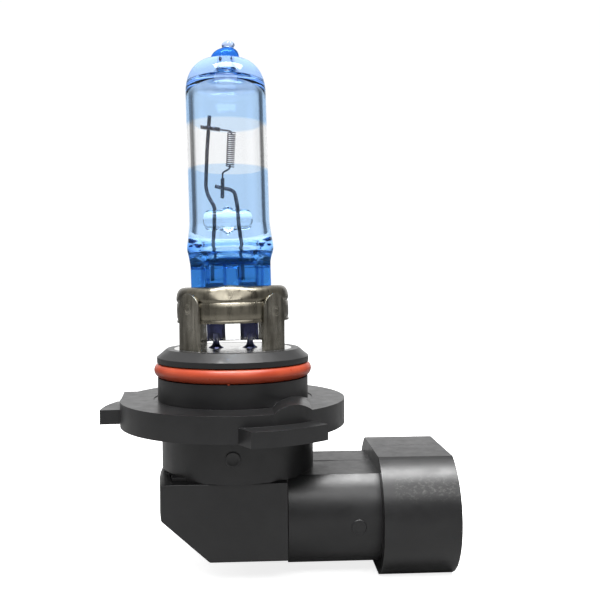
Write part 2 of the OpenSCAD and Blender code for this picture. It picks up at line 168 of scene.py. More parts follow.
def eased(table, z):
    """Value at z from a table of (z, value), on a smooth curve through its rows."""
    if z <= table[0][0]:
        return table[0][1]
    slopes = [0.0]
    for (z0, v0), (z1, v1), (z2, v2) in zip(table, table[1:], table[2:]):
        before, after = (v1 - v0) / (z1 - z0), (v2 - v1) / (z2 - z1)
        slopes.append(0.0 if before * after <= 0 else 2 * before * after / (before + after))
    slopes.append(0.0)
    for i, ((z0, v0), (z1, v1)) in enumerate(zip(table, table[1:])):
        if z <= z1:
            w = z1 - z0
            t = (z - z0) / w
            return ((1 + 2 * t) * (1 - t) ** 2 * v0 + t * t * (3 - 2 * t) * v1
                    + w * t * (1 - t) ** 2 * slopes[i] - w * t * t * (1 - t) * slopes[i + 1])
    return table[-1][1]


def step(x, low, high):
    """Rises smoothly from 0 at low to 1 at high."""
    t = min(1, max(0, (x - low) / (high - low)))
    return t * t * (3 - 2 * t)


# ---------------------------------------------------------------- materials


class Shader:
    """A material with its Principled node and a few helpers for its inputs."""

    def __init__(self, name, color, roughness=0.5, metallic=0.0, **sockets):
        self.material = bpy.data.materials.new(name)
        self.material.use_nodes = True
        self.tree = self.material.node_tree
        self.out = self.tree.nodes["Material Output"]
        self.bsdf = self.tree.nodes["Principled BSDF"]
        self.set("Base Color", (*color, 1))
        self.set("Roughness", roughness)
        self.set("Metallic", metallic)
        for key, value in sockets.items():
            self.set(key.replace("_", " "), value)
        self.coords = self.node("ShaderNodeTexCoord").outputs["Object"]

    def set(self, socket, value):
        self.bsdf.inputs[socket].default_value = value

    def node(self, kind, **attributes):
        n = self.tree.nodes.new(kind)
        for key, value in attributes.items():
            setattr(n, key, value)
        return n

    def link(self, a, b):
        self.tree.links.new(a, b)

    def noise(self, size, detail=3.0, rough=0.5, stretch=None):
        """Noise whose features are about size millimetres; stretch gives longer features along an axis."""
        n = self.node("ShaderNodeTexNoise")
        n.inputs["Scale"].default_value = 1 / (size * MM)
        n.inputs["Detail"].default_value = detail
        n.inputs["Roughness"].default_value = rough
        vector = self.coords
        if stretch:
            m = self.node("ShaderNodeMapping")
            m.inputs["Scale"].default_value = stretch
            self.link(vector, m.inputs["Vector"])
            vector = m.outputs["Vector"]
        self.link(vector, n.inputs["Vector"])
        return n.outputs["Fac"]

    def spread(self, value, low, high, to_low=0.0, to_high=1.0):
        m = self.node("ShaderNodeMapRange", clamp=True)
        for key, number in zip(("From Min", "From Max", "To Min", "To Max"), (low, high, to_low, to_high)):
            m.inputs[key].default_value = number
        self.link(value, m.inputs["Value"])
        return m.outputs["Result"]

    def math(self, operation, a, b=0.0):
        m = self.node("ShaderNodeMath", operation=operation)
        for socket, value in zip(m.inputs, (a, b)):
            if isinstance(value, (int, float)):
                socket.default_value = value
            else:
                self.link(value, socket)
        return m.outputs[0]

    def mix(self, factor, a, b):
        m = self.node("ShaderNodeMix", data_type="RGBA")
        self.link(factor, m.inputs["Factor"])
        for socket, value in ((m.inputs[6], a), (m.inputs[7], b)):
            if isinstance(value, tuple):
                socket.default_value = (*value, 1)
            else:
                self.link(value, socket)
        return m.outputs[2]

    def axis(self, name):
        s = self.node("ShaderNodeSeparateXYZ")
        self.link(self.coords, s.inputs[0])
        return s.outputs[name]

    def along(self, name, low, high, to_low=0.0, to_high=1.0):
        """Ramp along the axis called name, between two places in millimetres."""
        return self.spread(self.axis(name), low * MM, high * MM, to_low, to_high)

    def off(self, value, centre, full, none):
        """1 where value is within full millimetres of centre, and 0 beyond none."""
        distance = self.math("ABSOLUTE", self.math("SUBTRACT", value, centre * MM))
        return self.spread(distance, full * MM, none * MM, 1, 0)

    def bump(self, height, strength, depth):
        b = self.node("ShaderNodeBump")
        b.inputs["Strength"].default_value = strength
        b.inputs["Distance"].default_value = depth * MM
        self.link(height, b.inputs["Height"])
        self.link(b.outputs["Normal"], self.bsdf.inputs["Normal"])


def ramp_by_height(shader, stops):
    """Colour that changes with height: stops are (height in mm, colour)."""
    low, high = stops[0][0], stops[-1][0]
    factor = shader.spread(shader.axis("Z"), low * MM, high * MM)
    ramp = shader.node("ShaderNodeValToRGB")
    elements = ramp.color_ramp.elements
    for i, (z, color) in enumerate(stops):
        place = (z - low) / (high - low)
        e = elements[i] if i < 2 else elements.new(place)
        e.position = place
        e.color = (*color, 1)
    shader.link(factor, ramp.inputs["Fac"])
    return ramp.outputs["Color"]


# Colours of the capsule's glass, from clear through the blue film's depths to the tip's solid end; the navy
# is a painted dark reflection
CLEAR = (0.985, 0.99, 0.995)
PALE = (0.68, 0.82, 0.975)
MIDDLE = (0.40, 0.66, 0.93)
DEEP = (0.22, 0.52, 0.87)
# Painted dark reflection for the bulge's sides
PAINTED_REFLECTION_NAVY = (0.22, 0.44, 0.80)
CAP = (0.12, 0.35, 0.74)
SLATE = (0.54, 0.66, 0.87)
NUB = (0.72, 0.78, 0.88)
EDGE_BLUE = (0.05, 0.20, 0.58)


def coated_glass():
    """Glass whose blue film tints what passes it and what it reflects into the wall."""
    s = Shader("coated_glass", CLEAR)
    glass = s.node("ShaderNodeBsdfGlass")
    glass.inputs["Roughness"].default_value = 0.0
    glass.inputs["IOR"].default_value = 1.5
    color = ramp_by_height(s, [
        (8, CLEAR), (15.4, CLEAR), (15.9, DEEP), (19.8, DEEP), (20.8, MIDDLE), (22.4, PALE),
        (33.45, PALE), (33.55, CLEAR), (39.9, CLEAR), (40.0, PALE), (45.0, PALE),
        (46.8, SLATE), (48.9, SLATE), (49.4, CAP), (50.85, CAP), (51.05, NUB), (52.2, NUB)])
    across = s.math("ABSOLUTE", s.axis("X"))
    # Painted dark reflection: the film is painted navy where the glass curves away at the sides, just above
    # the pinch
    side = s.spread(across, 4.7 * MM, 6.2 * MM)
    low = s.along("Z", 21.2, 23.8, 1, 0)
    high = s.along("Z", 19.8, 20.6)
    color = s.mix(s.math("MULTIPLY", side, s.math("MULTIPLY", low, high)), color, PAINTED_REFLECTION_NAVY)
    # Darker blue along the edges of the die's marks: one level line, and upright lines at each side
    line = (0.1, 0.35)
    lines = s.off(s.axis("Z"), 19.75, *line)
    for place in (1.1, 3.6, 4.3):
        lines = s.math("MAXIMUM", lines, s.off(across, place, *line))
    lines = s.math("MULTIPLY", lines, s.along("Z", 19.8, 20.1, 0.75, 0))
    lines = s.math("MULTIPLY", lines, s.along("Z", 15.8, 16.2))
    color = s.mix(s.math("MULTIPLY", lines, s.spread(s.noise(1.1, 2), 0.3, 0.5, 0.5, 1)), color, EDGE_BLUE)
    s.link(color, glass.inputs["Color"])
    film = s.node("ShaderNodeBsdfDiffuse")
    film.inputs["Color"].default_value = (0.06, 0.25, 0.75, 1)
    at_pinch = s.along("Z", 20.3, 21.6, 0.3, 0)
    at_tip = s.along("Z", 48.5, 49.5, 0, 0.1)
    amount = s.math("ADD", at_pinch, at_tip)
    both = s.node("ShaderNodeMixShader")
    s.link(s.math("MULTIPLY", amount, s.along("Z", 15.4, 15.9)), both.inputs["Fac"])
    s.link(glass.outputs[0], both.inputs[1])
    s.link(film.outputs[0], both.inputs[2])
    s.tree.nodes.remove(s.bsdf)
    s.link(both.outputs[0], s.out.inputs["Surface"])
    bump = s.node("ShaderNodeBump")
    bump.inputs["Strength"].default_value = 0.05
    bump.inputs["Distance"].default_value = 0.05 * MM
    s.link(s.noise(2.5, 2), bump.inputs["Height"])
    s.link(bump.outputs["Normal"], glass.inputs["Normal"])
    return s.material


def clear_glass(name, tint, ior=1.48):
    s = Shader(name, tint, roughness=0.0, Transmission_Weight=1.0, IOR=ior)
    s.bump(s.noise(1.5, 2), 0.1, 0.04)
    return s.material


def black_plastic(name, dark, light, scuffed=False):
    """Satin moulded plastic with a little dust. With scuffed, it is worn in a band along the shroud."""
    s = Shader(name, dark, roughness=0.28, IOR=1.52)
    cloud = s.spread(s.noise(6, 4, 0.6), 0.35, 0.7)
    color = s.mix(cloud, dark, light)
    grain = s.noise(0.35, 3, 0.6)
    rough = s.spread(s.noise(2.2, 5, 0.65), 0.3, 0.7, 0.3, 0.42)
    dust = s.spread(s.noise(0.22, 2, 0.5), 0.74, 0.8)
    color = s.mix(s.math("MULTIPLY", dust, 0.12), color, (0.16, 0.16, 0.16))
    if scuffed:
        across = s.off(s.axis("Z"), -11.3, 0.3, 1.9)
        front = s.along("Y", -8.5, -6.5, 1, 0)
        beyond = s.along("X", 21.5, 22.5)
        speck = s.spread(s.noise(0.35, 6, 0.75, (0.6, 1, 1)), 0.5, 0.75)
        worn = s.math("MULTIPLY", s.math("MULTIPLY", across, front), s.math("MULTIPLY", beyond, speck))
        color = s.mix(s.math("MULTIPLY", worn, 0.5), color, (0.16, 0.155, 0.145))
    s.link(color, s.bsdf.inputs["Base Color"])
    s.link(rough, s.bsdf.inputs["Roughness"])
    s.bump(grain, 0.02, 0.015)
    return s.material


def silicone():
    s = Shader("red_silicone", (0.5, 0.07, 0.03), roughness=0.33, IOR=1.43)
    cloud = s.spread(s.noise(3.5, 4), 0.3, 0.7)
    s.link(s.mix(cloud, (0.33, 0.040, 0.015), (0.42, 0.064, 0.024)), s.bsdf.inputs["Base Color"])
    s.link(s.spread(s.noise(1.2, 4), 0.3, 0.7, 0.27, 0.42), s.bsdf.inputs["Roughness"])
    s.bump(s.noise(0.5, 3), 0.12, 0.03)
    return s.material


def steel(name, dark, light, rough, streak=(1, 1, 0.12), plate=False):
    """Stamped sheet with a cloudy tone, drawn streaks and pits. With plate, its foot is bright tin."""
    s = Shader(name, light, roughness=rough, metallic=1.0)
    cloud = s.spread(s.noise(3.2, 4, 0.6), 0.3, 0.7)
    streaks = s.noise(0.9, 4, 0.6, streak)
    drawn = s.spread(streaks, 0.3, 0.7)
    tone = s.math("ADD", s.math("MULTIPLY", cloud, 0.6), s.math("MULTIPLY", drawn, 0.4))
    color = s.mix(tone, dark, light)
    if plate:
        color = s.mix(s.along("Z", 7.28, 7.4, 1, 0), color, (0.9, 0.9, 0.89))
    s.link(color, s.bsdf.inputs["Base Color"])
    s.link(s.spread(streaks, 0.3, 0.7, rough - 0.08, rough + 0.1), s.bsdf.inputs["Roughness"])
    s.bump(s.noise(0.6, 4), 0.2, 0.03)
    return s.material


def thin_metal(name, dark, light, rough, size=0.5):
    s = Shader(name, light, roughness=rough, metallic=1.0)
    s.link(s.mix(s.spread(s.noise(size, 3), 0.3, 0.7), dark, light), s.bsdf.inputs["Base Color"])
    s.link(s.spread(s.noise(size * 2, 3), 0.3, 0.7, rough - 0.06, rough + 0.08), s.bsdf.inputs["Roughness"])
    s.bump(s.noise(size / 2, 2), 0.1, 0.02)
    return s.material


def resin():
    s = Shader("resin", (0.2, 0.18, 0.15), roughness=0.3, IOR=1.5)
    s.link(s.mix(s.spread(s.noise(2, 4), 0.3, 0.7), (0.15, 0.13, 0.1), (0.26, 0.24, 0.2)),
           s.bsdf.inputs["Base Color"])
    s.bump(s.noise(1.2, 3), 0.2, 0.05)
    return s.material


GLASS = coated_glass()
INNER_GLASS = clear_glass("inner_glass", (0.97, 0.98, 0.99))
BEAD_GLASS = clear_glass("bead_glass", (0.90, 0.945, 0.985), 1.46)
PLASTIC = black_plastic("black_plastic", (0.006, 0.006, 0.0065), (0.011, 0.011, 0.0115), scuffed=True)
COVER = black_plastic("cover_plastic", (0.007, 0.007, 0.0075), (0.012, 0.012, 0.0125))
CARRIER = black_plastic("carrier_plastic", (0.03, 0.03, 0.032), (0.04, 0.04, 0.042))
SILICONE = silicone()
HOLDER = steel("holder_steel", (0.10, 0.09, 0.07), (0.27, 0.25, 0.20), 0.3)
LEG_STEEL = steel("leg_steel", (0.12, 0.11, 0.085), (0.38, 0.36, 0.31), 0.24, plate=True)
TINNED = steel("tinned_steel", (0.62, 0.62, 0.6), (0.86, 0.86, 0.84), 0.24, (1, 1, 1))
TUNGSTEN = thin_metal("tungsten", (0.05, 0.05, 0.06), (0.13, 0.13, 0.15), 0.42)
COIL_METAL = thin_metal("coil_metal", (0.06, 0.06, 0.068), (0.14, 0.14, 0.155), 0.35)
FOIL = thin_metal("molybdenum_foil", (0.015, 0.017, 0.05), (0.03, 0.035, 0.09), 0.35, 1.2)
LEAD = thin_metal("lead_metal", (0.04, 0.045, 0.12), (0.16, 0.17, 0.28), 0.3, 0.8)
BRASS = thin_metal("brass", (0.6, 0.42, 0.16), (0.8, 0.6, 0.27), 0.3, 0.8)
RESIN = resin()


# ---------------------------------------------------------------- CAD nodes that stay


def refine(node, material, width):
    """Merges the node's flat faces, rounds its edges and shades it smooth, all by modifiers."""
    o = frame["nodes"][node]
    o.data.materials.clear()
    o.data.materials.append(material)
    for polygon in o.data.polygons:
        polygon.use_smooth = True
    weld = o.modifiers.new("weld", "WELD")
    weld.merge_threshold = 2e-6
    flat = o.modifiers.new("flat", "DECIMATE")
    flat.decimate_type = "DISSOLVE"
    flat.angle_limit = math.radians(0.6)
    bevel = o.modifiers.new("bevel", "BEVEL")
    bevel.width = width * MM
    bevel.segments = 2
    bevel.limit_method = "ANGLE"
    bevel.angle_limit = math.radians(28)
    bevel.harden_normals = False
    bevel.miter_outer = "MITER_ARC"
    normals = o.modifiers.new("normals", "WEIGHTED_NORMAL")
    normals.keep_sharp = True


# Each node's material and the width of its rounded edges in millimetres
refine("base_housing", PLASTIC, 0.16)
refine("elbow_cover", COVER, 0.2)
refine("terminal_carrier", CARRIER, 0.1)
refine("terminal_left", TINNED, 0.1)
refine("terminal_right", TINNED, 0.1)
refine("ferrule_left", BRASS, 0.06)
refine("ferrule_right", BRASS, 0.06)
refine("sealing_plug", RESIN, 0.1)
refine("pinch_clip", HOLDER, 0.05)
refine("leg_bracket", LEG_STEEL, 0.07)
refine("outer_lead_left", LEAD, 0.06)
refine("outer_lead_right", LEAD, 0.06)

# ---------------------------------------------------------------- glass capsule

LEAN = math.radians(1.3)
LEAN_Z = 9.0


def leaned(points):
    """Turns points of the capsule's own frame by its lean."""
    c, s = math.cos(LEAN), math.sin(LEAN)
    return [[x * c - (z - LEAN_Z) * s, y, LEAN_Z + x * s + (z - LEAN_Z) * c] for x, y, z in points]


# Outside: radius of the straight tube, its lowest level, and the level and height of the shoulder above it
GLASS_R, TUBE_LOW, SHOULDER_Z, SHOULDER_H = 5.85, 25.9, 44.31, 5.0
# Radius that the shoulder closes to
TIP_R = 2.3
# Hollow: its radius, the level where it starts to close, the height of that part and its ceiling's radius
CAVITY_R, CAVITY_Z, CAVITY_H, CEILING_R = 4.83, 43.6, 3.0, 1.6
# Half width and half depth at heights from the pinch to the tube, outside and inside
HALF_WIDTH = [(19.7, 5.8), (20.4, 5.92), (21.2, 6.2), (22.0, 6.32), (23.7, 6.1), (26.2, 5.85)]
HALF_DEPTH = [(18.9, 1.3), (20.2, 3.4), (21.2, 5.2), (22.2, 6.0), (23.4, 6.02), (26.2, 5.85)]
IN_WIDTH = [(20.35, 2.4), (20.5, 3.0), (21.0, 3.8), (21.9, 4.55), (23.4, 5.0), (26.2, 4.83)]
IN_DEPTH = [(20.35, 0.2), (20.6, 1.4), (21.2, 3.2), (22.0, 4.5), (23.2, 4.92), (26.2, 4.83)]
# Radius, height and sideways shift of the rings of the sealed tip
TIP_NUB = [(2.12, 49.42, 0), (2.08, 49.6, 0.02), (2.05, 49.85, 0.04), (1.95, 50.15, 0.1),
           (1.78, 50.45, 0.18), (1.5, 50.72, 0.28), (1.15, 50.93, 0.38), (0.88, 51.05, 0.44),
           (0.82, 51.18, 0.48), (0.9, 51.35, 0.52), (0.95, 51.55, 0.55), (0.9, 51.75, 0.57),
           (0.78, 51.92, 0.58), (0.6, 52.05, 0.58), (0.38, 52.13, 0.58), (0.15, 52.17, 0.58)]
# Radius and height of the rings of the narrow hollow under the tip
CAVITY_TIP = [(1.3, 46.68), (1.05, 46.9), (0.9, 47.3), (0.8, 47.7), (0.55, 48.0), (0.25, 48.1)]


def section(half_x, half_y, power, count, shape=None):
    """Rounded box or ellipse, sampled evenly along its edge."""
    fine = 720
    dense = []
    for k in range(fine):
        a = 2 * math.pi * k / fine
        c, s = math.cos(a), math.sin(a)
        r = (abs(c / half_x) ** power + abs(s / half_y) ** power) ** (-1 / power)
        p = [r * c, r * s]
        dense.append(shape(p) if shape else p)
    lengths = [0.0]
    for k in range(fine):
        a, b = dense[k], dense[(k + 1) % fine]
        lengths.append(lengths[-1] + math.dist(a, b))
    out, k = [], 0
    for i in range(count):
        target = lengths[-1] * i / count
        while lengths[k + 1] < target:
            k += 1
        t = (target - lengths[k]) / (lengths[k + 1] - lengths[k])
        a, b = dense[k], dense[(k + 1) % fine]
        out.append([a[0] + (b[0] - a[0]) * t, a[1] + (b[1] - a[1]) * t])
    return out


def pinch_face(z):
    """How the dies shape the pinch at height z: side rails, and two pockets above the foils."""
    press = 1 - step(z, 19.4, 20.3)

    def shape(p):
        x, y = p
        across = abs(x)
        rail = 0.55 * step(across, 3.75, 4.35) * press
        pocket = 0.4 * step(across, 0.9, 1.2) * (1 - step(across, 3.4, 3.7))
        pocket *= step(z, 17.3, 17.6) * (1 - step(z, 19.1, 19.4))
        middle = 0.12 * (1 - step(across, 0.35, 0.6))
        middle *= step(z, 15.5, 16) * (1 - step(z, 18.9, 19.2)) * press
        cut = rail - pocket - middle
        return [x, y + math.copysign(cut, y) * min(1, abs(y) / 0.9)]
    return shape


def capsule_piece():
    """The glass as one closed skin outside and one inside, from the pinch's foot to the tip."""
    count = 144
    outer = []
    levels = [8.4, 8.5, 8.65, 9] + [9 + 0.4 * i for i in range(1, 20)]
    levels += [17.1 + 0.12 * i for i in range(24)] + [20 + 0.12 * i for i in range(1, 49)]
    for z in levels:
        soft = 0.25 * (1 - step(z, 8.3, 8.7))
        power = 2 + 12 * (1 - step(z, 19.5, 21.6)) ** 2
        half_x, half_y = eased(HALF_WIDTH, z) - soft, eased(HALF_DEPTH, z) - soft
        ring = section(half_x, half_y, power, count, pinch_face(z))
        outer.append([[x, y, z] for x, y in ring])

    def circle(r, z, shift=0.0):
        angles = [2 * math.pi * k / count for k in range(count)]
        return [[shift + r * math.cos(a), r * math.sin(a), z] for a in angles]

    for i in range(1, 20):
        outer.append(circle(GLASS_R, TUBE_LOW + i * (SHOULDER_Z - TUBE_LOW) / 20))
    for i in range(25):
        u = math.sin(math.pi / 2 * i / 24)
        outer.append(circle(TIP_R + (GLASS_R - TIP_R) * (1 - u ** 2.3) ** 0.5, SHOULDER_Z + SHOULDER_H * u))
    for r, z, shift in TIP_NUB:
        outer.append(circle(r, z, shift))
    inner = []
    for z in [20.35 + 0.1 * i for i in range(54)]:
        power = 2 + 1.5 * (1 - step(z, 20.4, 21.6))
        inner.append([[x, y, z] for x, y in section(eased(IN_WIDTH, z), eased(IN_DEPTH, z), power, count)])
    for i in range(1, 19):
        inner.append(circle(CAVITY_R, TUBE_LOW + i * (CAVITY_Z - TUBE_LOW) / 18))
    for i in range(1, 25):
        u = math.sin(math.pi / 2 * i / 24)
        r = CEILING_R + (CAVITY_R - CEILING_R) * (1 - u ** 3) ** (1 / 2.4)
        inner.append(circle(r, CAVITY_Z + CAVITY_H * u))
    for r, z in CAVITY_TIP:
        inner.append(circle(r, z, 0.1))
    outer_verts, outer_faces = loft([leaned(ring) for ring in outer])
    inner_verts, inner_faces = loft([leaned(ring) for ring in inner], flip=True, first=len(outer_verts))
    piece = make_mesh("capsule_glass", outer_verts + inner_verts, outer_faces + inner_faces, GLASS,
                      inner_from=len(outer_faces), inner_material=INNER_GLASS)
    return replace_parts(piece, "glass_capsule")


capsule_piece()

# ---------------------------------------------------------------- filament, wires, bead and foils

# Centre, length, outer radius and lean of the filament's coil
COIL_X, COIL_Z, COIL_L, COIL_R, COIL_TILT = -0.15, 36.3, 5.1, 0.65, math.radians(3)


def coil_piece():
    """The filament's helix."""
    turns, per_turn, wire = 17, 24, 0.078
    points = []
    for i in range(turns * per_turn + 1):
        a = 2 * math.pi * i / per_turn
        h = COIL_L * (i / (turns * per_turn) - 0.5) * 0.97
        x, y = (COIL_R - wire) * math.cos(a), (COIL_R - wire) * math.sin(a)
        points.append([COIL_X + x * math.cos(COIL_TILT) + h * math.sin(COIL_TILT), y,
                       COIL_Z - x * math.sin(COIL_TILT) + h * math.cos(COIL_TILT)])
    verts, faces = tube(points, wire, 8)
    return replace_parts(make_mesh("filament_helix", verts, faces, COIL_METAL), "filament_coil")


coil_piece()


def sleeve_piece(name, node, start, end, tail):
    """A bar wound with fine wire, and the thin tail that joins it to the coil."""
    a, b = Vector(start), Vector(end)
    along = (b - a).normalized()
    side = along.orthogonal().normalized()
    other = along.cross(side)
    length = (b - a).length
    core_r, winding_r, tail_r = 0.22, 0.09, 0.13
    turns, per_turn = int(length / 0.2), 12
    wound = []
    for i in range(turns * per_turn + 1):
        angle = math.pi * i / 6
        round_core = core_r * (math.cos(angle) * side + math.sin(angle) * other)
        wound.append(a + along * (length * i / (turns * per_turn)) + round_core)
    verts, faces = join([tube([a, b], core_r), tube(wound, winding_r, 6),
                         tube(rounded_path(tail, 0.15, 0.25), tail_r, 10)])
    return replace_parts(make_mesh(name, verts, faces, TUNGSTEN), node)


sleeve_piece("upper_sleeve", "upper_filament_sleeve", (-4.48, 0, 39.58), (-1.68, 0, 39.22),
             [(-1.9, 0, 39.24), (-0.6, 0, 39.08), (-0.05, 0, 38.95), (-0.02, 0, 38.4)])
sleeve_piece("lower_sleeve", "lower_filament_sleeve", (-1.4, 0, 29.28), (-1.35, 0, 32.1),
             [(-1.36, 0, 31.9), (-1.35, 0, 32.95), (-0.32, 0, 33.55), (-0.3, 0, 34.2)])

# Radius of the support wires, and how far behind the coil's axis they stand above the bead
WIRE_R, WIRE_Y = 0.275, 0.605
LONG_ROUTE = [(-2.75, 0, 17.22), (-2.6, 0, 21.9), (-2.2, 0, 25.2), (-2.1, 0, 27.95), (-3.1, WIRE_Y, 29.8),
              (-3.38, WIRE_Y, 31.0), (-3.0, WIRE_Y, 36.6), (-2.5, WIRE_Y, 41.4)]
SHORT_ROUTE = [(1.7, 0, 17.22), (1.75, 0, 21.5), (1.3, 0, 25.2), (1.2, 0, 27.95), (0.85, WIRE_Y, 30.1),
               (0.3, WIRE_Y, 30.55), (-0.9, WIRE_Y, 30.8), (-2.0, WIRE_Y, 31.1)]
for name, node, route in (("long_wire", "long_support_wire", LONG_ROUTE),
                          ("short_wire", "short_support_wire", SHORT_ROUTE)):
    verts, faces = tube(rounded_path(leaned(route)), WIRE_R, 14)
    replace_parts(make_mesh(name, verts, faces, TUNGSTEN), node)


def bead_piece():
    """A glass bar pressed round the two wires, with a small dome above and below its middle."""
    half, r, centre_x, centre_z = 3.6, 1.52, -0.25, 26
    rings = []
    for i in range(41):
        t = -1 + 2 * i / 40
        x = half * math.sin(t * math.pi / 2)
        edge = max(0.0, 1 - max(0.0, (abs(x) - (half - 1.0)) / 1.0) ** 2.4) ** 0.45
        reach = r * edge + 0.02
        ring = []
        for k in range(48):
            a = 2 * math.pi * k / 48
            dome = 0.6 * math.exp(-(x / 0.7) ** 2) * abs(math.sin(a)) ** 4
            ring.append([centre_x + x, 0.8 * reach * math.cos(a), centre_z + (reach + dome) * math.sin(a)])
        rings.append(ring)
    verts, faces = loft([leaned(ring) for ring in rings])
    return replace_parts(make_mesh("bead_glass_bar", verts, faces, BEAD_GLASS), "bridge_bead")


bead_piece()


def foil_piece(name, node, side):
    """A foil that thins to its edges and is a little wavy. Its side is -1 or 1."""
    rings = []
    low, high = 8.45, 16.9
    outline = ((-1, 0), (-0.6, -0.8), (0, -1), (0.6, -0.8), (1, 0), (0.6, 0.8), (0, 1), (-0.6, 0.8))
    for i in range(31):
        z = low + (high - low) * i / 30
        wave = 0.03 * math.sin(z * 2.3 + side)
        narrow = 0.12 if i in (0, 30) else 0.0
        rings.append([[side * 2.5 + (1.4 - narrow) * x, wave + 0.07 * y, z] for x, y in outline])
    verts, faces = loft([leaned(ring) for ring in rings])
    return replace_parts(make_mesh(name, verts, faces, FOIL), node)


foil_piece("foil_strip_left", "foil_left", -1)
foil_piece("foil_strip_right", "foil_right", 1)

# ---------------------------------------------------------------- steel ring

# Radius and height of the ring's section, up the outside from the foot, over the lip and down the inside
RING_OUTLINE = [
    (8.0, 11.27), (8.12, 11.25), (8.19, 11.33), (8.17, 11.55), (8.09, 11.68), (8.09, 11.85), (8.16, 11.98),
    (8.17, 12.6), (8.17, 13.3), (8.16, 13.95), (8.08, 14.06), (8.03, 14.16), (8.08, 14.3), (8.17, 14.42),
    (8.2, 14.6), (8.19, 14.95), (8.1, 15.3), (7.93, 15.58), (7.68, 15.82), (7.38, 15.97), (7.05, 16.04),
    (6.7, 16.03), (6.42, 15.98), (6.3, 15.88), (6.32, 15.75), (6.45, 15.66), (7.0, 15.64), (7.35, 15.55),
    (7.6, 15.35), (7.76, 15.05), (7.8, 14.7), (7.8, 13.0), (7.8, 11.4), (7.85, 11.3)]
RING_MIDDLE_Z = 13.65


def ring_piece():
    """Rolled band with a bead above its foot, a rounded lip and a V dent pushed in at the front."""
    verts, faces = lathe(RING_OUTLINE, 192, closed=True)
    for v in verts:
        angle = math.atan2(v[1], v[0]) + math.pi / 2
        reach = math.hypot(v[0], v[1])
        x = angle * 8.2 + 0.3
        dent = math.cos(math.pi * x / 8.0) ** 3 if abs(x) < 4.0 else 0.0
        push = 0.7 * dent * step(v[2], 13.9, 15.6)
        v[0] *= (reach - push) / reach
        v[1] *= (reach - push) / reach
        v[2] += (0.3 + 0.25 * dent) * step(v[2], 14.9, 15.8)
    lift = Matrix.Translation((0, 0, RING_MIDDLE_Z))
    tilt = lift @ Matrix.Rotation(-LEAN, 4, "Y") @ lift.inverted()
    verts = [list(tilt @ Vector(v)) for v in verts]
    piece = make_mesh("rolled_ring", verts, faces, HOLDER)
    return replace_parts(piece, "retainer_ring")


ring_piece()


def weld_marks():
    """Shallow craters with a raised edge, one on each leg."""
    parts = []
    leg_r = 8.62
    outline = [(0.02, -0.05), (0.16, -0.04), (0.3, 0.0), (0.42, 0.035),
               (0.56, 0.05), (0.68, 0.04), (0.78, 0.0), (0.82, -0.04)]
    for angle, z in ((-136, 13.2), (-44, 12.9), (44, 13.1), (136, 13.1)):
        verts, faces = lathe(outline, 28)
        a = math.radians(angle)
        turn = Matrix.Rotation(a, 3, "Z") @ Matrix.Rotation(math.pi / 2, 3, "Y")
        centre = Vector((leg_r * math.cos(a), leg_r * math.sin(a), z))
        bent = []
        for v in verts:
            p = turn @ Vector(v) + centre
            offset = v[1] ** 2 / (2 * leg_r)
            bent.append(list(p - Vector((math.cos(a), math.sin(a), 0)) * offset))
        parts.append((bent, faces))
    verts, faces = join(parts)
    return make_mesh("weld_marks", verts, faces, LEG_STEEL)


weld_marks()

# ---------------------------------------------------------------- O-ring


def o_ring_piece():
    """The ring in its groove, with a small moulding nib at the front."""
    cord_r = 1.05
    centre_z, centre_r = 3.25 + cord_r, 11.5 - cord_r
    angles = [2 * math.pi * k / 32 for k in range(32)]
    profile = [(centre_r + cord_r * math.cos(a), centre_z + cord_r * math.sin(a)) for a in angles]
    body = lathe(profile, 160, closed=True)
    nib_outline = [(0.2, 0.0), (0.19, -0.12), (0.14, -0.2), (0.05, -0.24), (0.01, -0.24)]
    nib = lathe(nib_outline, 16, centre=(-0.3, -11.0))
    nib = ([[x, y, z + 3.38] for x, y, z in nib[0]], nib[1])
    verts, faces = join([body, nib])
    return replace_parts(make_mesh("silicone_ring", verts, faces, SILICONE), "o_ring")


o_ring_piece()

# ---------------------------------------------------------------- mould marks


def ejector_marks():
    """Round ejector marks on the drum and on the side tube, each a low disc with a soft edge."""
    parts = []
    for (x, y, z), curve in (((0.2, -11.13, -6.75), 11.1), ((17.3, -10.17, -16.6), 12.0)):
        outline = [(0.0, 0.05), (0.55, 0.05), (0.72, 0.08), (0.84, 0.13),
                   (0.95, 0.14), (1.02, 0.11), (1.06, 0.03), (1.08, -0.1)]
        verts, faces = lathe(outline, 40)
        bent = []
        for a, b, h in verts:
            drop = (a * a if curve < 12 else b * b) / (2 * curve)
            bent.append([x + a, y - h + drop, z + b])
        parts.append((bent, [f[::-1] for f in faces]))
    verts, faces = join(parts)
    return make_mesh("ejector_marks", verts, faces, PLASTIC)


ejector_marks()


def lead_feet():
    """Small cones where the leads leave the steel plate."""
    outline = [(0.44, 1.05), (0.47, 0.75), (0.55, 0.5), (0.72, 0.28), (0.98, 0.12), (1.1, 0.04),
               (1.12, -0.05)]
    parts = []
    for side in (-1, 1):
        verts, faces = lathe(outline, 28, centre=(side * 2.5, 0))
        parts.append(([[x, y, z + 7.3] for x, y, z in verts], faces))
    verts, faces = join(parts)
    return make_mesh("lead_feet", verts, faces, LEAD)


lead_feet()


def mould_lines():
    """Fine parting lines along the flat tops of the side tube and of the shroud."""
    parts = []
    for x0, x1, z in ((11.8, 20.5, -10.0), (20.55, 31.05, -7.8)):
        rings = []
        for x in (x0, x0 + 0.1, x1 - 0.1, x1):
            rings.append([[x, 0.8 + 0.09 * math.cos(a), z - 0.05 + 0.09 * math.sin(a)]
                          for a in [math.pi * k / 4 for k in range(8)]])
        parts.append(loft(rings))
    verts, faces = join(parts)
    return make_mesh("mould_lines", verts, faces, PLASTIC)


mould_lines()

# ---------------------------------------------------------------- stage, light and camera


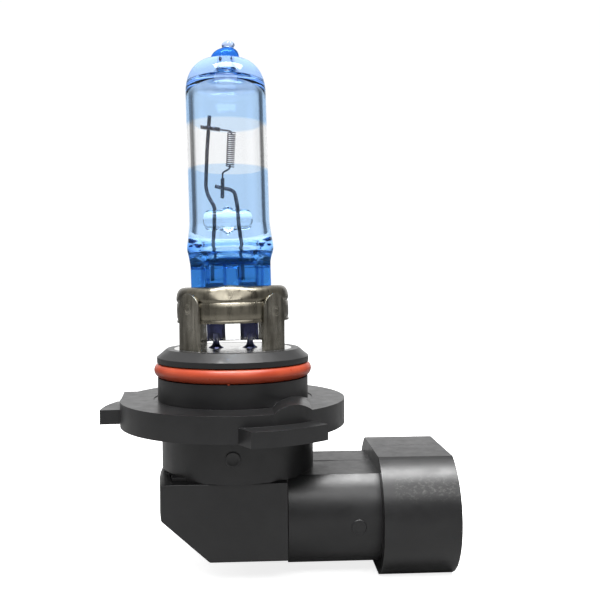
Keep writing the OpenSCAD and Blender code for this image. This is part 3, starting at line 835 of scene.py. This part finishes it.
def stage():
    mesh = bpy.data.meshes.new("floor")
    size = 6.0
    z = cad_box[0][2] - 0.00002
    corners = [(-size, -size, z), (size, -size, z), (size, size, z), (-size, size, z)]
    mesh.from_pydata(corners, [], [(0, 1, 2, 3)])
    floor = bpy.data.objects.new("floor", mesh)
    bpy.context.scene.collection.objects.link(floor)
    s = Shader("floor", (0.82, 0.82, 0.82), roughness=1.0)
    s.set("Specular IOR Level", 0.0)
    s.set("Emission Color", (1, 1, 1, 1))
    path = s.node("ShaderNodeLightPath")
    seen = s.math("MAXIMUM", path.outputs["Is Camera Ray"], path.outputs["Is Transmission Ray"])
    s.link(s.math("MULTIPLY", seen, 0.8), s.bsdf.inputs["Emission Strength"])
    s.link(s.mix(seen, (0.3, 0.3, 0.3), (0.82, 0.82, 0.82)), s.bsdf.inputs["Base Color"])
    mesh.materials.append(s.material)


def world():
    """White all round for the camera; for lighting, white behind and above and dimmer from the front."""
    w = bpy.data.worlds.new("studio")
    bpy.context.scene.world = w
    w.use_nodes = True
    tree = w.node_tree
    tree.nodes.clear()
    out = tree.nodes.new("ShaderNodeOutputWorld")
    coords = tree.nodes.new("ShaderNodeTexCoord")

    def lobe(direction, low, high, floor, top):
        """Light that falls off smoothly from a direction."""
        dot = tree.nodes.new("ShaderNodeVectorMath")
        dot.operation = "DOT_PRODUCT"
        dot.inputs[1].default_value = Vector(direction).normalized()
        tree.links.new(coords.outputs["Generated"], dot.inputs[0])
        ramp = tree.nodes.new("ShaderNodeMapRange")
        ramp.interpolation_type = "SMOOTHSTEP"
        for key, value in zip(("From Min", "From Max", "To Min", "To Max"), (low, high, floor, top)):
            ramp.inputs[key].default_value = value
        tree.links.new(dot.outputs["Value"], ramp.inputs["Value"])
        return ramp.outputs["Result"]

    # Light from behind, above, the front and each side. The brightest of the five counts.
    total = None
    for direction, low, high, top in (((0, 1, 0.05), 0.80, 0.93, 1.08), ((-0.1, 0.3, 1), 0.35, 0.95, 0.95),
                                      ((-0.3, -1, 0.15), 0.2, 0.9, 0.3), ((-1, 0, 0.1), 0.88, 0.97, 0.8),
                                      ((1, 0, 0.1), 0.88, 0.97, 0.5)):
        part = lobe(direction, low, high, 0.14, top)
        if total is not None:
            most = tree.nodes.new("ShaderNodeMath")
            most.operation = "MAXIMUM"
            tree.links.new(total, most.inputs[0])
            tree.links.new(part, most.inputs[1])
            part = most.outputs[0]
        total = part
    light = tree.nodes.new("ShaderNodeBackground")
    light.inputs["Color"].default_value = (1, 1, 1, 1)
    tree.links.new(total, light.inputs["Strength"])
    white = tree.nodes.new("ShaderNodeBackground")
    white.inputs["Color"].default_value = (1, 1, 1, 1)
    # A little over 1, so that the backdrop stays white in the picture
    white.inputs["Strength"].default_value = 1.02
    path = tree.nodes.new("ShaderNodeLightPath")
    mix = tree.nodes.new("ShaderNodeMixShader")
    tree.links.new(path.outputs["Is Camera Ray"], mix.inputs["Fac"])
    tree.links.new(light.outputs[0], mix.inputs[1])
    tree.links.new(white.outputs[0], mix.inputs[2])
    tree.links.new(mix.outputs[0], out.inputs["Surface"])


def softbox(name, place, aim, size, power):
    data = bpy.data.lights.new(name, "AREA")
    data.shape = "RECTANGLE"
    data.size, data.size_y = size
    data.energy = power
    o = bpy.data.objects.new(name, data)
    o.location = place
    o.rotation_euler = (Vector(aim) - Vector(place)).to_track_quat("-Z", "Y").to_euler()
    bpy.context.scene.collection.objects.link(o)


def camera():
    """Pinhole camera fitted to the object's own edges. Angles are in radians and places in millimetres."""
    yaw, pitch, roll = -0.05817, 0.02772, -0.00483
    sensor, focal, place = 36, 45.5226, (3.390, -112.327, 17.359)
    forward = Vector((-math.sin(yaw) * math.cos(pitch), math.cos(yaw) * math.cos(pitch), -math.sin(pitch)))
    right0 = Vector((math.cos(yaw), math.sin(yaw), 0))
    up0 = right0.cross(forward)
    right = math.cos(roll) * right0 + math.sin(roll) * up0
    up = -math.sin(roll) * right0 + math.cos(roll) * up0
    data = bpy.data.cameras.new("camera")
    data.sensor_width = sensor
    data.lens = focal
    data.clip_start = 0.01
    data.clip_end = 50
    o = bpy.data.objects.new("camera", data)
    matrix = Matrix((right, up, -forward)).transposed().to_4x4()
    matrix.translation = Vector(place) * MM
    o.matrix_world = matrix
    bpy.context.scene.collection.objects.link(o)
    bpy.context.scene.camera = o


stage()
world()
softbox("overhead", (0.02, -0.06, 0.23), (0.01, 0, -0.01), (0.22, 0.08), 1.25)
softbox("front_top", (0.01, -0.17, 0.14), (0.015, 0, -0.012), (0.22, 0.07), 0.2)
camera()
view = bpy.context.scene.view_settings
view.view_transform = "Standard"
view.look = "None"
